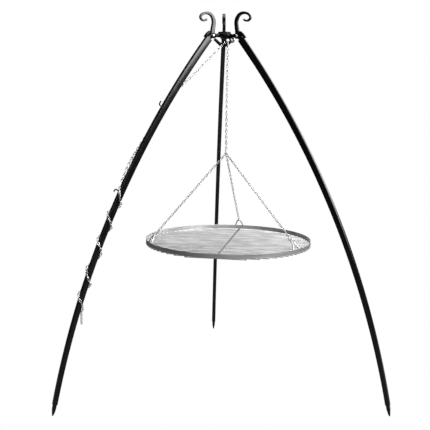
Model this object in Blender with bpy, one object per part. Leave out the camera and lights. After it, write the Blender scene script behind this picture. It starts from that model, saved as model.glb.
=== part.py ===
# Campfire tripod with a hanging round grate. Metres, +Z up, origin on the ground
# in the middle of the three feet. The back leg points to +Y.
import bpy
import math
from mathutils import Vector

# ---- driving dimensions -------------------------------------------------
LEG_AZIMUTHS = {"back": 90.0, "left": 210.0, "right": 330.0}
ARC_CENTRE_R = -2.948
ARC_CENTRE_Z = -0.763
ARC_RADIUS = 3.891
ARC_TOP = 38.75
ARC_BOTTOM = 12.07
TUBE_WIDTH = 0.020
TUBE_DEPTH_TOP = 0.0325
TUBE_DEPTH_BOTTOM = 0.0205
TUBE_WALL = 0.002
TUBE_CORNER = 0.003
PLUG_GAP = 0.0003
TIP_SIZE = 0.005

PIVOT_R = 0.0685
PIVOT_Z = 1.686
BOLT_RADIUS = 0.004
HOLE_RADIUS = 0.00408
CHEEK_INNER = 0.008
CHEEK_OUTER = 0.012
CHEEK_ROUND = 0.013
DRUM_RADIUS = 0.037
DRUM_LOW = 1.683
DRUM_HIGH = 1.699
DISC_RADIUS = 0.030
DISC_HIGH = 1.706

HANG_X = 0.0165
GRATE_X = 0.0350
EYE_Z = 1.668
EYE_RADIUS = 0.0113
EYE_WIRE = 0.00325
SHACKLE_WIRE = 0.002
SHACKLE_HALF = 0.00675
SHACKLE_HIGH = 1.6558
SHACKLE_LOW = 1.6433
CHAIN_RADIUS = 0.00515
CHAIN_TOP = 1.633
JUNCTION_Z = 1.148
JUNCTION_RADIUS = 0.009
JUNCTION_WIRE = 0.0025

LUG_X = 0.0367
LUG_Z = 1.6700
WASHER_Z = 1.6720
WASHER_RADIUS = 0.0130

RIM_RADIUS = 0.400
RIM_THICK = 0.003
RIM_TOP = 0.727
RIM_LOW = 0.707
ROD_RADIUS = 0.00325
ROD_PITCH = 0.025
ROD_SIDE_COUNT = 15
CROSS_RADIUS = 0.004
CROSS_LIFT = 0.0008
CROSS_SHORT = 0.0045
GRATE_TURN = -11.5
BAIL_WIRE = 0.003
BAIL_AZIMUTHS = {"back": 78.5, "left": 198.5, "right": 318.5}
BAIL_APEX_R = 0.3725
BAIL_APEX_Z = 0.7595
LINK_WIRE = 0.002
LINK_HALF = 0.006
LINK_LENGTH = 0.016

WRAP_CROSSINGS = (26.09, 24.48, 22.69, 20.46, 18.93)


# ---- scene and material helpers ----------------------------------------
def clear_scene():
    for obj in list(bpy.data.objects):
        bpy.data.objects.remove(obj, do_unlink=True)


def make_material(name, colour, metallic, roughness):
    mat = bpy.data.materials.new(name)
    mat.use_nodes = True
    shader = mat.node_tree.nodes["Principled BSDF"]
    shader.inputs["Base Color"].default_value = (*colour, 1.0)
    shader.inputs["Metallic"].default_value = metallic
    shader.inputs["Roughness"].default_value = roughness
    return mat


FINISHES = {
    "black_coating": ((0.018, 0.018, 0.019), 0.0, 0.35),
    "bright_zinc": ((0.80, 0.81, 0.82), 1.0, 0.28),
    "stainless": ((0.66, 0.66, 0.65), 1.0, 0.34),
}


def finish_object(obj, slot):
    colour, metallic, roughness = FINISHES[slot]
    obj.data.materials.clear()
    obj.data.materials.append(make_material(slot + "_" + obj.name, colour, metallic, roughness))
    return obj


def mesh_object(name, verts, faces, slot):
    mesh = bpy.data.meshes.new(name)
    mesh.from_pydata([tuple(v) for v in verts], [], faces)
    mesh.update()
    obj = bpy.data.objects.new(name, mesh)
    bpy.context.scene.collection.objects.link(obj)
    return finish_object(obj, slot)


def apply_boolean(obj, cutter, operation):
    mod = obj.modifiers.new("cut", "BOOLEAN")
    mod.operation = operation
    mod.solver = "EXACT"
    mod.object = cutter
    graph = bpy.context.evaluated_depsgraph_get()
    done = bpy.data.meshes.new_from_object(obj.evaluated_get(graph))
    obj.modifiers.clear()
    old = obj.data
    obj.data = done
    bpy.data.meshes.remove(old)
    bpy.data.objects.remove(cutter, do_unlink=True)


# ---- geometry helpers ---------------------------------------------------
def leg_axes(azimuth):
    a = math.radians(azimuth)
    out = Vector((math.cos(a), math.sin(a), 0.0))
    side = Vector((-math.sin(a), math.cos(a), 0.0))
    return out, side


def plane_point(azimuth, r, z, side_shift=0.0):
    out, side = leg_axes(azimuth)
    return out * r + side * side_shift + Vector((0.0, 0.0, z))


def arc_frame(phi):
    a = math.radians(phi)
    centre = (ARC_CENTRE_R + ARC_RADIUS * math.cos(a), ARC_CENTRE_Z + ARC_RADIUS * math.sin(a))
    return centre, (math.cos(a), math.sin(a))


def tube_depth(phi):
    share = (phi - ARC_BOTTOM) / (ARC_TOP - ARC_BOTTOM)
    return TUBE_DEPTH_BOTTOM + (TUBE_DEPTH_TOP - TUBE_DEPTH_BOTTOM) * share


def arc_point(azimuth, phi, normal_shift=0.0, side_shift=0.0):
    centre, normal = arc_frame(phi)
    r = centre[0] + normal[0] * normal_shift
    z = centre[1] + normal[1] * normal_shift
    return plane_point(azimuth, r, z, side_shift)


def rounded_section(half_u, half_v, corner, per_corner=3):
    points = []
    centres = ((1, 1, 0.0), (-1, 1, 90.0), (-1, -1, 180.0), (1, -1, 270.0))
    for su, sv, start in centres:
        for step in range(per_corner):
            a = math.radians(start + 90.0 * step / (per_corner - 1))
            u = su * (half_u - corner) + corner * math.cos(a)
            v = sv * (half_v - corner) + corner * math.sin(a)
            points.append((u, v))
    return points


def place_section(section, origin, u_axis, v_axis):
    return [origin + u_axis * u + v_axis * v for u, v in section]


def loft(name, rings, slot, looped=False):
    count = len(rings[0])
    verts = [v for ring in rings for v in ring]
    faces = []
    last = len(rings) if looped else len(rings) - 1
    for i in range(last):
        low = i * count
        high = ((i + 1) % len(rings)) * count
        for j in range(count):
            k = (j + 1) % count
            faces.append((low + j, low + k, high + k, high + j))
    if not looped:
        faces.append(tuple(range(count - 1, -1, -1)))
        top = (len(rings) - 1) * count
        faces.append(tuple(range(top, top + count)))
    obj = mesh_object(name, verts, faces, slot)
    face_outward(obj)
    return obj


def face_outward(obj):
    mesh = obj.data
    mesh.calc_loop_triangles()
    volume = 0.0
    for tri in mesh.loop_triangles:
        a, b, c = (mesh.vertices[i].co for i in tri.vertices)
        volume += a.dot(b.cross(c)) / 6.0
    if volume < 0.0:
        mesh.flip_normals()


def prism(name, outline, origin, u_axis, v_axis, depth, slot):
    shift = u_axis.cross(v_axis).normalized() * depth
    low = [origin + u_axis * u + v_axis * v for u, v in outline]
    high = [p + shift for p in low]
    return loft(name, [low, high], slot)


def circle_outline(radius, sides, u=0.0, v=0.0, turn=0.0):
    step = 2.0 * math.pi / sides
    return [(u + radius * math.cos(step * i + turn), v + radius * math.sin(step * i + turn))
            for i in range(sides)]


def cylinder(name, start, end, radius, sides, slot):
    axis = (end - start).normalized()
    helper = Vector((0.0, 0.0, 1.0))
    if abs(axis.z) > 0.9:
        helper = Vector((1.0, 0.0, 0.0))
    u_axis = axis.cross(helper).normalized()
    v_axis = axis.cross(u_axis)
    outline = circle_outline(radius, sides)
    return prism(name, outline, start, u_axis, v_axis, (end - start).length, slot)


def turned(name, start, axis, profile, sides, slot):
    helper = Vector((0.0, 0.0, 1.0))
    if abs(axis.z) > 0.9:
        helper = Vector((1.0, 0.0, 0.0))
    u_axis = axis.cross(helper).normalized()
    v_axis = axis.cross(u_axis)
    rings = []
    for along, radius in profile:
        section = circle_outline(radius, sides)
        rings.append(place_section(section, start + axis * along, u_axis, v_axis))
    return loft(name, rings, slot)


def torus(name, centre, axis, radius, wire, around, across, slot):
    helper = Vector((0.0, 0.0, 1.0))
    if abs(axis.z) > 0.9:
        helper = Vector((1.0, 0.0, 0.0))
    u_axis = axis.cross(helper).normalized()
    v_axis = axis.cross(u_axis)
    rings = []
    for i in range(around):
        a = 2.0 * math.pi * i / around
        out = u_axis * math.cos(a) + v_axis * math.sin(a)
        section = circle_outline(wire, across)
        rings.append(place_section(section, centre + out * radius, out, axis))
    return loft(name, rings, slot, looped=True)


def stadium(name, first, second, width_axis, half, wire, slot):
    long_axis = (second - first).normalized()
    normal = width_axis.cross(long_axis).normalized()
    rings = []
    for base, start in ((second, 0.0), (first, 180.0)):
        for i in range(9):
            a = math.radians(start + 180.0 * i / 8)
            out = width_axis * math.cos(a) + long_axis * math.sin(a)
            section = circle_outline(wire, 10)
            rings.append(place_section(section, base + out * half, out, normal))
    return loft(name, rings, slot, looped=True)


def smooth_points(points, count):
    chain = [points[0]] + list(points) + [points[-1]]
    dense = []
    for i in range(1, len(chain) - 2):
        p0, p1, p2, p3 = chain[i - 1], chain[i], chain[i + 1], chain[i + 2]
        for step in range(24):
            t = step / 24.0
            a = p1 * 2.0
            b = (p2 - p0) * t
            c = (p0 * 2.0 - p1 * 5.0 + p2 * 4.0 - p3) * t * t
            d = (p1 * 3.0 - p0 - p2 * 3.0 + p3) * t * t * t
            dense.append((a + b + c + d) * 0.5)
    dense.append(points[-1])
    return resample(dense, count)


def resample(dense, count):
    lengths = [0.0]
    for a, b in zip(dense, dense[1:]):
        lengths.append(lengths[-1] + (b - a).length)
    out = []
    i = 0
    for step in range(count):
        want = lengths[-1] * step / (count - 1)
        while i < len(lengths) - 2 and lengths[i + 1] < want:
            i += 1
        span = max(lengths[i + 1] - lengths[i], 1e-9)
        out.append(dense[i].lerp(dense[i + 1], (want - lengths[i]) / span))
    return out


def wire(name, points, radius, resolution, slot):
    curve = bpy.data.curves.new(name, "CURVE")
    curve.dimensions = "3D"
    curve.bevel_depth = radius
    curve.bevel_resolution = resolution
    curve.use_fill_caps = True
    curve.render_resolution_u = 0
    curve.twist_mode = "MINIMUM"
    spline = curve.splines.new("POLY")
    spline.points.add(len(points) - 1)
    for knot, p in zip(spline.points, points):
        knot.co = (p.x, p.y, p.z, 1.0)
    obj = bpy.data.objects.new(name, curve)
    bpy.context.scene.collection.objects.link(obj)
    return finish_object(obj, slot)


# ---- legs ---------------------------------------------------------------
def leg_ring(azimuth, phi, half_depth, half_width, corner):
    out, side = leg_axes(azimuth)
    centre, normal = arc_frame(phi)
    origin = out * centre[0] + Vector((0.0, 0.0, centre[1]))
    u_axis = out * normal[0] + Vector((0.0, 0.0, normal[1]))
    return place_section(rounded_section(half_depth, half_width, corner), origin, u_axis, side)


def leg_tube(key, azimuth):
    outer = []
    inner = []
    steps = 22
    for i in range(steps + 1):
        phi = ARC_BOTTOM + (ARC_TOP - ARC_BOTTOM) * i / steps
        half = tube_depth(phi) / 2.0
        outer.append(leg_ring(azimuth, phi, half, TUBE_WIDTH / 2.0, TUBE_CORNER))
        inner.append(leg_ring(azimuth, phi, half - TUBE_WALL, TUBE_WIDTH / 2.0 - TUBE_WALL,
                              TUBE_CORNER - 0.0015))
    return loft("leg_tube_" + key, outer + inner[::-1], "black_coating", looped=True)


FOOT_OUTLINE = ((0.1053, 1.6760), (0.1114, 1.6809), (0.1010, 1.6945), (0.0915, 1.7030),
                (0.0830, 1.7080), (0.0775, 1.7090), (0.0779, 1.7042), (0.0827, 1.6948),
                (0.0920, 1.6834), (0.0996, 1.6834))
FOOT_HALF_WIDTH = 0.0075


def scroll_foot(key, azimuth):
    out = leg_axes(azimuth)[0]
    up = Vector((0.0, 0.0, 1.0))
    start = out.cross(up) * -FOOT_HALF_WIDTH
    return prism("scroll_foot_" + key, FOOT_OUTLINE, start, out, up, FOOT_HALF_WIDTH * 2.0,
                 "black_coating")


def foot_spike(key, azimuth):
    out, side = leg_axes(azimuth)
    a = math.radians(ARC_BOTTOM)
    down = out * math.sin(a) - Vector((0.0, 0.0, math.cos(a)))
    across = out * math.cos(a) + Vector((0.0, 0.0, math.sin(a)))
    end = arc_point(azimuth, ARC_BOTTOM)
    half_u = TUBE_DEPTH_BOTTOM / 2.0 - TUBE_WALL - PLUG_GAP
    half_v = TUBE_WIDTH / 2.0 - TUBE_WALL - PLUG_GAP
    rings = []
    stations = ((-0.034, 0.80), (-0.032, 1.0), (0.004, 1.0), (0.018, 0.98), (0.034, 0.72))
    for along, scale in stations:
        section = rounded_section(half_u * scale, half_v * scale, 0.0015)
        rings.append(place_section(section, end + down * along, across, side))
    reach = end.z / math.cos(a)
    tip = end + down * reach
    section = rounded_section(TIP_SIZE / 2.0, TIP_SIZE / 2.0, 0.001)
    rings.append(place_section(section, Vector((tip.x, tip.y, 0.0)), out, side))
    return loft("foot_spike_" + key, rings, "black_coating")


SCROLL_PATH = (
    (0.1153, 1.6369), (0.0871, 1.6720), (0.0735, 1.6885), (0.0675, 1.7010), (0.0655, 1.7150),
    (0.0625, 1.7330), (0.0608, 1.7500), (0.0632, 1.7650), (0.0695, 1.7785), (0.0790, 1.7880),
    (0.0920, 1.7930), (0.1070, 1.7925), (0.1210, 1.7870), (0.1305, 1.7775), (0.1315, 1.7665),
    (0.1240, 1.7580), (0.1130, 1.7555), (0.1040, 1.7580), (0.0990, 1.7630),
)
SCROLL_THICK = (0.020, 0.020, 0.0205, 0.020, 0.0195, 0.0185, 0.018, 0.017, 0.015, 0.0135,
                0.0125, 0.0115, 0.0105, 0.0098, 0.009, 0.0085, 0.008, 0.0085, 0.0075)
SCROLL_WIDE = (0.0134, 0.0134, 0.015, 0.015, 0.015, 0.0148, 0.0145, 0.0143, 0.014, 0.014,
               0.0138, 0.0138, 0.0135, 0.0135, 0.0132, 0.013, 0.013, 0.013, 0.0125)


SCROLL_DROP = {"back": 0.0, "left": 0.0080, "right": 0.0035}


def scroll_height(key, z):
    # Each bar is forged by hand, so the curls end at slightly different heights.
    if z < 1.715:
        return z
    return 1.715 + (z - 1.715) * (1.0 - SCROLL_DROP[key] / 0.085)


def table_value(values, share):
    place = share * (len(values) - 1)
    low = min(int(place), len(values) - 2)
    return values[low] + (values[low + 1] - values[low]) * (place - low)


def scroll_bar(key, azimuth):
    out, side = leg_axes(azimuth)
    path = [Vector((r, scroll_height(key, z), 0.0)) for r, z in SCROLL_PATH]
    chain = [path[0] * 2.0 - path[1]] + path + [path[-1] * 2.0 - path[-2]]
    per_span = 4
    rings = []
    total = (len(path) - 1) * per_span
    for n in range(total + 1):
        i = min(n // per_span, len(path) - 2)
        t = n / per_span - i
        p0, p1, p2, p3 = chain[i], chain[i + 1], chain[i + 2], chain[i + 3]
        point = (p1 * 2.0 + (p2 - p0) * t + (p0 * 2.0 - p1 * 5.0 + p2 * 4.0 - p3) * t * t
                 + (p1 * 3.0 - p0 - p2 * 3.0 + p3) * t * t * t) * 0.5
        slope = ((p2 - p0) + (p0 * 2.0 - p1 * 5.0 + p2 * 4.0 - p3) * 2.0 * t
                 + (p1 * 3.0 - p0 - p2 * 3.0 + p3) * 3.0 * t * t).normalized()
        across = out * slope.y - Vector((0.0, 0.0, slope.x))
        share = n / total
        half_u = table_value(SCROLL_THICK, share) / 2.0
        half_v = table_value(SCROLL_WIDE, share) / 2.0
        origin = out * point.x + Vector((0.0, 0.0, point.y))
        corner = min(half_u, half_v) * 0.38
        rings.append(place_section(rounded_section(half_u, half_v, corner), origin, across, side))
    obj = loft("scroll_bar_" + key, rings, "black_coating")
    a = plane_point(azimuth, PIVOT_R, PIVOT_Z, -0.012)
    b = plane_point(azimuth, PIVOT_R, PIVOT_Z, 0.012)
    apply_boolean(obj, cylinder("cut", a, b, HOLE_RADIUS, 24, "black_coating"), "DIFFERENCE")
    return obj


def hinge_bolt(key, azimuth, head_side):
    out, side = leg_axes(azimuth)
    axis = side * head_side
    start = plane_point(azimuth, PIVOT_R, PIVOT_Z) + axis * -0.0195
    profile = ((0.0, 0.0034), (0.0008, BOLT_RADIUS), (0.0318, BOLT_RADIUS), (0.0319, 0.00625),
               (0.0340, 0.00625), (0.0358, 0.0053), (0.0368, 0.0036))
    return turned("hinge_bolt_" + key, start, axis, profile, 24, "bright_zinc")


def nut(name, centre, axis, radius, depth, slot):
    helper = Vector((0.0, 0.0, 1.0))
    u_axis = axis.cross(helper).normalized()
    v_axis = axis.cross(u_axis)
    start = centre - axis * depth / 2.0
    obj = prism(name, circle_outline(radius, 6), start, u_axis, v_axis, depth, slot)
    cutter = cylinder("cut", centre - axis * depth, centre + axis * depth, HOLE_RADIUS, 24, slot)
    apply_boolean(obj, cutter, "DIFFERENCE")
    return obj


# ---- crown --------------------------------------------------------------
def cheek_outline():
    points = [(0.020, 1.6836), (0.030, 1.6836), (0.046, 1.6800)]
    for i in range(15):
        a = math.radians(-112.0 + 224.0 * i / 14)
        points.append((PIVOT_R + CHEEK_ROUND * math.cos(a), PIVOT_Z + CHEEK_ROUND * math.sin(a)))
    points += [(0.046, 1.6935), (0.030, 1.6950), (0.020, 1.6950)]
    return points


def crown_hub():
    up = Vector((0.0, 0.0, 1.0))
    profile = ((0.0, DRUM_RADIUS - 0.001), (0.001, DRUM_RADIUS), (0.013, DRUM_RADIUS),
               (0.016, DRUM_RADIUS - 0.003))
    obj = turned("crown_hub", Vector((0.0, 0.0, DRUM_LOW)), up, profile, 64, "black_coating")
    disc = turned("part", Vector((0.0, 0.0, DRUM_HIGH - 0.004)), up,
                  ((0.0, DISC_RADIUS), (0.010, DISC_RADIUS), (0.011, DISC_RADIUS - 0.001)),
                  64, "black_coating")
    apply_boolean(obj, disc, "UNION")
    for azimuth in LEG_AZIMUTHS.values():
        out, side = leg_axes(azimuth)
        for start in (CHEEK_INNER, -CHEEK_OUTER):
            origin = side * (start + CHEEK_OUTER - CHEEK_INNER)
            cheek = prism("part", cheek_outline(), origin, out, Vector((0.0, 0.0, 1.0)),
                          CHEEK_OUTER - CHEEK_INNER, "black_coating")
            apply_boolean(obj, cheek, "UNION")
    tab = prism("part", lug_outline(), Vector((0.0, 0.0265, 0.0)), Vector((1.0, 0.0, 0.0)),
                Vector((0.0, 0.0, 1.0)), 0.005, "black_coating")
    apply_boolean(obj, tab, "UNION")
    for azimuth in LEG_AZIMUTHS.values():
        a = plane_point(azimuth, PIVOT_R, PIVOT_Z, -0.016)
        b = plane_point(azimuth, PIVOT_R, PIVOT_Z, 0.016)
        apply_boolean(obj, cylinder("cut", a, b, HOLE_RADIUS, 24, "black_coating"), "DIFFERENCE")
    a = Vector((LUG_X, 0.0190, LUG_Z))
    b = Vector((LUG_X, 0.0290, LUG_Z))
    apply_boolean(obj, cylinder("cut", a, b, HOLE_RADIUS, 24, "black_coating"), "DIFFERENCE")
    a = Vector((LUG_X, 0.0038, WASHER_Z))
    b = Vector((LUG_X, 0.0107, WASHER_Z))
    apply_boolean(obj, cylinder("cut", a, b, WASHER_RADIUS + 0.0006, 32, "black_coating"),
                  "DIFFERENCE")
    a = Vector((HANG_X, 0.0, DRUM_LOW - 0.004))
    b = Vector((HANG_X, 0.0, DISC_HIGH - 0.002))
    apply_boolean(obj, cylinder("cut", a, b, 0.0034, 20, "black_coating"), "DIFFERENCE")
    return obj


def lug_outline():
    points = []
    for i in range(13):
        a = math.radians(180.0 + 180.0 * i / 12)
        points.append((LUG_X + 0.0095 * math.cos(a), LUG_Z + 0.0095 * math.sin(a)))
    points += [(LUG_X + 0.0095, 1.6800), (0.0300, 1.6900), (0.0140, 1.6900), (0.0140, 1.6840)]
    return points


def stirrup():
    path = [(-0.0480, 1.6745), (-0.0420, 1.6705), (-0.0280, 1.6580), (-0.0170, 1.6500),
            (-0.0040, 1.6480), (0.0080, 1.6485), (0.0200, 1.6555), (0.0367, 1.6690)]
    thick = (0.0060, 0.0065, 0.0070, 0.0080, 0.0086, 0.0084, 0.0070, 0.0060)
    points = smooth_points([Vector((x, z, 0.0)) for x, z in path], 26)
    left = []
    right = []
    for i, p in enumerate(points):
        ahead = points[min(i + 1, len(points) - 1)] - points[max(i - 1, 0)]
        ahead.normalize()
        across = Vector((-ahead.y, ahead.x, 0.0))
        place = (len(thick) - 1) * i / (len(points) - 1)
        low = min(int(place), len(thick) - 2)
        half = thick[low] + (thick[low + 1] - thick[low]) * (place - low)
        left.append(p + across * half)
        right.append(p - across * half)
    outline = [(p.x, p.y) for p in left] + [(p.x, p.y) for p in reversed(right)]
    obj = prism("stirrup", outline, Vector((0.0, 0.021, 0.0)), Vector((1.0, 0.0, 0.0)),
                Vector((0.0, 0.0, 1.0)), 0.010, "black_coating")
    lug = prism("part", circle_outline(0.0125, 28, LUG_X, LUG_Z), Vector((0.0, 0.021, 0.0)),
                Vector((1.0, 0.0, 0.0)), Vector((0.0, 0.0, 1.0)), 0.010, "black_coating")
    apply_boolean(obj, lug, "UNION")
    a = Vector((LUG_X, 0.0060, LUG_Z))
    b = Vector((LUG_X, 0.0300, LUG_Z))
    apply_boolean(obj, cylinder("cut", a, b, HOLE_RADIUS, 24, "black_coating"), "DIFFERENCE")
    return obj


def stirrup_bolt():
    back = Vector((0.0, 1.0, 0.0))
    obj = turned("stirrup_bolt", Vector((LUG_X, 0.0045, WASHER_Z)), back,
                 ((0.0, WASHER_RADIUS - 0.0012), (0.0012, WASHER_RADIUS), (0.0060, WASHER_RADIUS)),
                 32, "bright_zinc")
    shank = cylinder("part", Vector((LUG_X, 0.0080, LUG_Z)), Vector((LUG_X, 0.0345, LUG_Z)),
                     BOLT_RADIUS, 24, "bright_zinc")
    apply_boolean(obj, shank, "UNION")
    return obj


def guide_eye():
    obj = torus("guide_eye", Vector((HANG_X, 0.0, EYE_Z)), Vector((0.0, 1.0, 0.0)),
                EYE_RADIUS, EYE_WIRE, 28, 12, "black_coating")
    shank = cylinder("part", Vector((HANG_X, 0.0, EYE_Z + EYE_RADIUS)),
                     Vector((HANG_X, 0.0, DISC_HIGH - 0.0035)), 0.0030, 16, "black_coating")
    apply_boolean(obj, shank, "UNION")
    return obj


# ---- hanging gear -------------------------------------------------------
def hang_shackle():
    high = Vector((HANG_X, 0.0, SHACKLE_HIGH))
    low = Vector((HANG_X, 0.0, SHACKLE_LOW))
    return stadium("hang_shackle", low, high, Vector((0.0, 1.0, 0.0)), SHACKLE_HALF,
                   SHACKLE_WIRE, "bright_zinc")


def hoist_chain():
    top = Vector((HANG_X, 0.0, CHAIN_TOP))
    low = Vector((HANG_X, 0.0, JUNCTION_Z + JUNCTION_RADIUS + JUNCTION_WIRE + 0.0010))
    points = [top.lerp(low, i / 10.0) for i in range(11)]
    return wire("hoist_chain", points, CHAIN_RADIUS, 3, "bright_zinc")


def bail_frame(key):
    out, side = leg_axes(BAIL_AZIMUTHS[key])
    centre = Vector((GRATE_X, 0.0, 0.0))
    apex = centre + out * BAIL_APEX_R + Vector((0.0, 0.0, BAIL_APEX_Z))
    hook = Vector((HANG_X, 0.0, JUNCTION_Z))
    return out, side, centre, apex, (hook - apex).normalized()


def bail(key):
    out, side, centre, apex, toward = bail_frame(key)
    half = ((0.0205, 0.3923, 0.7115), (0.0200, 0.3923, 0.7240), (0.0175, 0.3900, 0.7330),
            (0.0125, 0.3835, 0.7440), (0.0065, 0.3760, 0.7545), (0.0, BAIL_APEX_R, BAIL_APEX_Z))
    table = [(-t, r, z) for t, r, z in half] + [(t, r, z) for t, r, z in reversed(half[:-1])]
    points = [centre + side * t + out * r + Vector((0.0, 0.0, z)) for t, r, z in table]
    return wire("bail_" + key, smooth_points(points, 26), BAIL_WIRE, 2, "stainless")


def connector(key):
    out, side, centre, apex, toward = bail_frame(key)
    width = side.cross(toward).normalized()
    return stadium("connector_" + key, apex, apex + toward * LINK_LENGTH, width, LINK_HALF,
                   LINK_WIRE, "bright_zinc")


def branch_chain(key):
    out, side, centre, apex, toward = bail_frame(key)
    hook = Vector((HANG_X, 0.0, JUNCTION_Z))
    start = hook - toward * 0.0200
    end = apex + toward * (LINK_LENGTH + LINK_HALF + LINK_WIRE + 0.0010)
    points = [start.lerp(end, i / 10.0) for i in range(11)]
    return wire("branch_chain_" + key, points, CHAIN_RADIUS, 3, "bright_zinc")


def junction_ring():
    return torus("junction_ring", Vector((HANG_X, 0.0, JUNCTION_Z)), Vector((1.0, 0.0, 0.0)),
                 JUNCTION_RADIUS, JUNCTION_WIRE, 24, 10, "bright_zinc")


def grate_rim():
    outer = circle_outline(RIM_RADIUS, 88)
    inner = circle_outline(RIM_RADIUS - RIM_THICK, 88)
    rings = []
    for outline, z in ((outer, RIM_LOW), (outer, RIM_TOP), (inner, RIM_TOP), (inner, RIM_LOW)):
        rings.append([Vector((GRATE_X + u, v, z)) for u, v in outline])
    return loft("grate_rim", rings, "stainless", looped=True)


def grate_rods():
    a = math.radians(GRATE_TURN)
    along = Vector((math.cos(a), math.sin(a), 0.0))
    across = Vector((-math.sin(a), math.cos(a), 0.0))
    z = RIM_LOW - 0.0003 - ROD_RADIUS
    centre = Vector((GRATE_X, 0.0, z))
    bar = centre + Vector((0.0, 0.0, CROSS_LIFT))
    reach = RIM_RADIUS - CROSS_SHORT
    obj = cylinder("grate_rods", bar - across * reach, bar + across * reach, CROSS_RADIUS, 14,
                   "stainless")
    for i in range(-ROD_SIDE_COUNT, ROD_SIDE_COUNT + 1):
        shift = i * ROD_PITCH
        half = math.sqrt(RIM_RADIUS ** 2 - shift ** 2)
        middle = centre + across * shift
        rod = cylinder("part", middle - along * half, middle + along * half, ROD_RADIUS, 10,
                       "stainless")
        apply_boolean(obj, rod, "UNION")
    return obj


# ---- left leg fittings --------------------------------------------------
def hook(name, phi, steps):
    azimuth = LEG_AZIMUTHS["left"]
    out, side = leg_axes(azimuth)
    centre, normal = arc_frame(phi)
    n_axis = out * normal[0] + Vector((0.0, 0.0, normal[1]))
    s_axis = Vector((0.0, 0.0, normal[0])) - out * normal[1]
    base = arc_point(azimuth, phi, tube_depth(phi) / 2.0 + 0.0004)
    points = [base + n_axis * n + s_axis * s for n, s in steps]
    return wire(name, smooth_points(points, 22), 0.0030, 2, "black_coating")


def wrap_point(phi, turn):
    half_n = tube_depth(phi) / 2.0 + CHAIN_RADIUS + 0.0006
    half_s = TUBE_WIDTH / 2.0 + CHAIN_RADIUS + 0.0006
    a = math.radians(turn)
    c = abs(math.cos(a)) / half_n
    s = abs(math.sin(a)) / half_s
    reach = 1.0 / (c ** 6 + s ** 6) ** (1.0 / 6.0)
    return arc_point(LEG_AZIMUTHS["left"], phi, reach * math.cos(a), reach * math.sin(a))


def wrapped_chain():
    knots = [(26.55, 10.0)]
    for k, phi in enumerate(WRAP_CROSSINGS):
        knots.append((phi, 90.0 + 360.0 * k))
    knots.append((18.45, 90.0 + 360.0 * 4 + 80.0))
    dense = []
    for (phi_a, turn_a), (phi_b, turn_b) in zip(knots, knots[1:]):
        steps = 8 if turn_b - turn_a < 120.0 else 40
        for i in range(steps):
            t = i / steps
            dense.append(wrap_point(phi_a + (phi_b - phi_a) * t, turn_a + (turn_b - turn_a) * t))
    dense.append(wrap_point(*knots[-1]))
    return wire("wrapped_chain", resample(dense, 84), CHAIN_RADIUS, 3, "bright_zinc")


def leg_chain_run():
    azimuth = LEG_AZIMUTHS["left"]
    behind = -(TUBE_WIDTH / 2.0 + CHAIN_RADIUS + 0.0008)
    near = arc_point(azimuth, 34.4, -tube_depth(34.4) / 2.0 - 0.004, behind)
    eye = Vector((HANG_X, 0.0, EYE_Z))
    start = eye + (near - eye).normalized() * 0.040
    points = [start, start.lerp(near, 0.35), start.lerp(near, 0.7), near]
    points.append(arc_point(azimuth, 31.6, -0.001, behind))
    points.append(arc_point(azimuth, 29.2, tube_depth(29.2) / 2.0 + 0.001, behind))
    points.append(arc_point(azimuth, 28.3, tube_depth(28.3) / 2.0 + 0.0066, -0.010))
    points.append(arc_point(azimuth, 27.6, tube_depth(27.6) / 2.0 + 0.0070, -0.004))
    points.append(arc_point(azimuth, 27.05, tube_depth(27.05) / 2.0 + 0.0072, 0.0))
    return wire("leg_chain_run", smooth_points(points, 60), CHAIN_RADIUS, 3, "bright_zinc")


def chain_tail():
    top = wrap_point(18.18, 184.0)
    low = top + Vector((0.0, 0.0, -0.052))
    points = [top.lerp(low, i / 8.0) for i in range(9)]
    return wire("chain_tail", points, CHAIN_RADIUS, 3, "bright_zinc")


def build_all():
    clear_scene()
    crown_hub()
    heads = {"back": 1.0, "left": 1.0, "right": -1.0}
    for key, azimuth in LEG_AZIMUTHS.items():
        leg_tube(key, azimuth)
        scroll_foot(key, azimuth)
        foot_spike(key, azimuth)
        scroll_bar(key, azimuth)
        hinge_bolt(key, azimuth, heads[key])
        out, side = leg_axes(azimuth)
        axis = side * heads[key]
        seat = plane_point(azimuth, PIVOT_R, PIVOT_Z) - axis * 0.0153
        nut("hinge_nut_" + key, seat, axis, 0.0075, 0.0060, "bright_zinc")
    stirrup()
    stirrup_bolt()
    nut("stirrup_nut", Vector((LUG_X, 0.0299, LUG_Z)), Vector((0.0, 1.0, 0.0)), 0.0075, 0.0060,
        "bright_zinc")
    guide_eye()
    hang_shackle()
    hoist_chain()
    junction_ring()
    for key in BAIL_AZIMUTHS:
        bail(key)
        connector(key)
        branch_chain(key)
    grate_rim()
    grate_rods()
    hook("upper_hook", 32.9, ((0.0, 0.0), (0.007, 0.0), (0.0125, 0.0012), (0.0150, 0.0065),
                              (0.0155, 0.0190)))
    hook("lower_hook", 26.6, ((0.0, 0.0), (0.006, 0.0), (0.0155, 0.0004), (0.0200, -0.0050),
                              (0.0210, -0.0130)))
    wrapped_chain()
    leg_chain_run()
    chain_tail()


build_all()
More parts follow.
